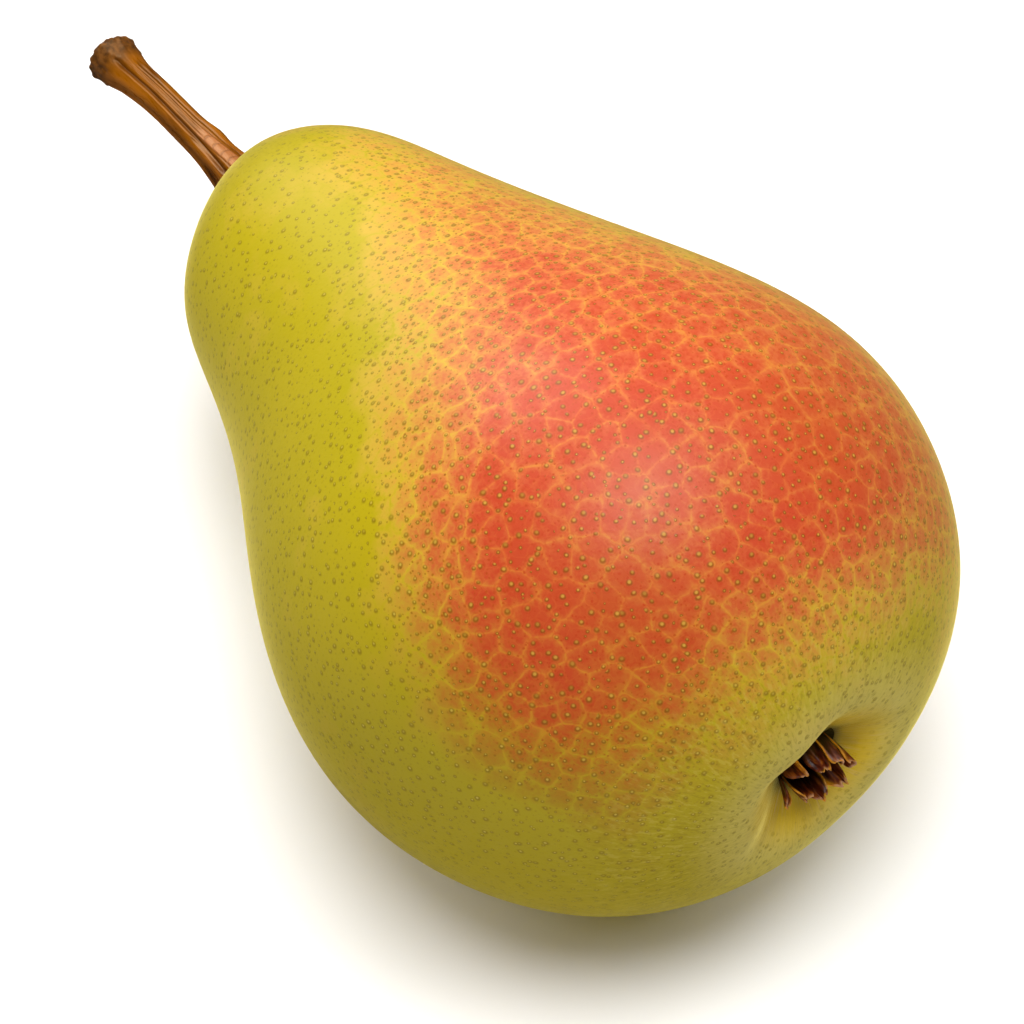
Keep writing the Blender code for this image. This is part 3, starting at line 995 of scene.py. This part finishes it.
def skin_material():
    skin = Finish("freckled_pear_skin")
    place = skin.place()
    facing = skin.facing()
    blush = skin.stored("blush")
    along = skin.node("ShaderNodeSeparateXYZ", {}, Vector=place).outputs["X"]
    mottle = skin.noise(place, 0.5, 3.0)

    tone = ground_and_blush(skin, place, blush, mottle)
    tone = add_specks(skin, tone, place, facing, blush)
    tone, freckles = add_freckles(skin, tone, place, facing, blush, along)
    tone = add_streaks(skin, tone, place, along)
    tone, wrinkles = add_basin(skin, tone, place)

    skin.put(skin.shader, "Base Color", tone)
    rough = skin.between(skin.noise(place, 1.5, 3.0), 0.2, 0.8, 0.34, 0.42)
    skin.put(skin.shader, "Roughness", rough)
    skin.shader.inputs["Sheen Weight"].default_value = 0.75
    skin.shader.inputs["Sheen Roughness"].default_value = 0.26
    skin.shader.inputs["Sheen Tint"].default_value = colour(255, 236, 130)
    skin.shader.inputs["IOR"].default_value = 1.42
    skin.shader.inputs["Specular IOR Level"].default_value = 0.5
    skin.shader.inputs["Specular Tint"].default_value = colour(255, 249, 232)
    height = skin.maths("MULTIPLY_ADD", mottle, 0.3, freckles)
    height = skin.maths("MULTIPLY_ADD", wrinkles, 3.0, height)
    skin.put(skin.shader, "Normal", skin.bump(height, 0.06))
    return skin.material


def stem_material():
    wood = Finish("glossy_stem_bark")
    place = wood.place()
    groove_shade = wood.stored("groove_shade")
    out = wood.stored("out")
    fibres = wood.noise(wood.stretched(place, (0.12, 1, 1)), 0.4, 3.0)
    patches = wood.noise(wood.stretched(place, (0.35, 1, 1)), 2.2, 2.0)
    tone = wood.ramp(patches, ((0.3, (98, 50, 2)), (0.5, (148, 84, 3)), (0.7, (176, 102, 10))))
    tone = wood.mix(wood.between(fibres, 0.42, 0.7, 0.0, 0.4), tone, colour(188, 112, 34))
    tone = wood.mix(wood.times(wood.stored("band"), 0.8), tone, colour(180, 112, 64))
    # Darker in the grooves, pits and cracks: painted shade
    tone = wood.mix(wood.times(groove_shade, 0.8), tone, colour(72, 32, 2))
    head = wood.between(out, 18.9, 21.6, 0.0, 0.85)
    crust = wood.ramp(wood.noise(place, 0.6, 3.0), ((0.35, (50, 26, 6)), (0.65, (122, 74, 28))))
    tone = wood.mix(head, tone, crust)
    wood.put(wood.shader, "Base Color", tone)
    rough = wood.between(fibres, 0.2, 0.8, 0.24, 0.36)
    wood.put(wood.shader, "Roughness", wood.maths("MULTIPLY_ADD", head, 0.25, rough))
    wood.shader.inputs["Specular IOR Level"].default_value = 0.7
    wood.shader.inputs["Specular Tint"].default_value = colour(255, 214, 160)
    wood.put(wood.shader, "Normal", wood.bump(fibres, 0.04))
    return wood.material


def calyx_material():
    dried = Finish("dried_sepals")
    place = dried.place()
    edge = dried.stored("edge")
    tip = dried.stored("tip")
    fibres = dried.noise(dried.stretched(place, (0.25, 1, 1)), 0.35, 3.0)
    tone = dried.ramp(fibres, ((0.3, (40, 10, 2)), (0.5, (96, 32, 5)), (0.66, (158, 84, 12))))
    # Near black towards each sepal's root and over the ring they stand on, deep in the hollow:
    # painted shade
    tone = dried.mix(dried.between(tip, 0.3, 0.95, 0.97, 0.0), tone, colour(14, 4, 1))
    patchy = dried.between(dried.noise(place, 0.7, 3.0), 0.3, 0.55, 0.35, 1.0)
    gilt = dried.times(dried.between(edge, 0.3, 0.9), patchy)
    tone = dried.mix(gilt, tone, colour(216, 144, 28))
    frayed = dried.times(dried.between(tip, 0.86, 1.0, 0.0, 0.7), dried.between(fibres, 0.4, 0.55))
    tone = dried.mix(frayed, tone, colour(176, 134, 112))
    dried.put(dried.shader, "Base Color", tone)
    dried.put(dried.shader, "Roughness", dried.between(fibres, 0.2, 0.8, 0.3, 0.5))
    dried.shader.inputs["Specular IOR Level"].default_value = 0.35
    dried.put(dried.shader, "Normal", dried.bump(fibres, 0.06))
    return dried.material


def floor_material():
    card = Finish("matt_white_card")
    place = card.nodes.new("ShaderNodeTexCoord").outputs["Object"]
    tone = card.ramp(card.noise(place, 0.3), ((0.3, (247, 247, 247)), (0.7, (250, 250, 250))))
    card.put(card.shader, "Base Color", tone)
    card.shader.inputs["Roughness"].default_value = 0.9
    card.shader.inputs["Specular IOR Level"].default_value = 0.1
    return card.material


# Studio


def make_floor():
    """The white floor, and a card in its place that throws light back on the pear."""
    planes = []
    for name, height in (("studio_floor", 0.0), ("bounce_card", -0.0002)):
        clear_selection()
        bpy.ops.mesh.primitive_plane_add(size=6, location=(0, 0, height))
        plane = finish_primitive(name)
        plane.data.materials.append(floor_material())
        plane.visible_glossy = False
        plane.visible_shadow = False
        planes.append(plane)
    floor, card = planes
    floor.visible_diffuse = False
    card.visible_camera = False
    return floor, card


def add_light(name, place, size, strength, pieces, mirrored, tint):
    """A round softbox aimed at the pear, which lights some pieces only."""
    light = bpy.data.objects.new(name, bpy.data.lights.new(name, "AREA"))
    bpy.context.scene.collection.objects.link(light)
    reach = Vector(place) - LIT_POINT
    light.data.shape = "DISK"
    light.data.size = size
    light.data.energy = strength * math.pi**2 * (reach.length**2 + size**2 / 4)
    light.data.color = tint
    light.location = place
    light.rotation_euler = reach.to_track_quat("Z", "Y").to_euler()
    lit = bpy.data.collections.new(name + "_reach")
    for piece in pieces:
        lit.objects.link(piece)
    light.light_linking.receiver_collection = lit
    light.visible_glossy = mirrored


def light_studio(pear, floor, card):
    """Softboxes for the pear and the card, and others that keep the floor white."""
    world = bpy.data.worlds.new("white_studio")
    bpy.context.scene.world = world
    world.use_nodes = True
    world.node_tree.nodes["Background"].inputs["Color"].default_value = (1, 1, 1, 1)
    world.node_tree.nodes["Background"].inputs["Strength"].default_value = WORLD_LIGHT
    world.cycles_visibility.glossy = False
    lit = {"pear": [*pear, card], "floor": [floor]}
    for name, place, size, strength, what, mirrored, tint in SOFTBOXES:
        add_light(name, place, size, strength, lit[what], mirrored, tint)
    bpy.context.scene.view_settings.view_transform = "Standard"


def place_camera():
    """Puts the camera where the belly's middle is seen CAMERA_OFFSET from its axis."""
    back = Vector(
        (
            math.sin(CAMERA_AZIMUTH) * math.cos(CAMERA_ELEVATION),
            -math.cos(CAMERA_AZIMUTH) * math.cos(CAMERA_ELEVATION),
            math.sin(CAMERA_ELEVATION),
        )
    )
    right = Vector((math.cos(CAMERA_AZIMUTH), math.sin(CAMERA_AZIMUTH), 0))
    up = back.cross(right)
    aside, under, ahead = CAMERA_OFFSET
    camera = bpy.data.objects.new("photo_camera", bpy.data.cameras.new("photo_camera"))
    bpy.context.scene.collection.objects.link(camera)
    camera.data.lens = CAMERA_LENS
    camera.data.sensor_width = CAMERA_SENSOR
    camera.data.clip_start = 0.01
    turn = Matrix((right, up, back)).transposed().to_4x4()
    turn.translation = (Vector(BELLY_PLACE) - aside * right + under * up + ahead * back) * MM
    camera.matrix_world = turn
    bpy.context.scene.camera = camera


def main():
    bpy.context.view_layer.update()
    pear = [make_fruit(), make_stem(), make_calyx()]
    light_studio(pear, *make_floor())
    place_camera()


main()
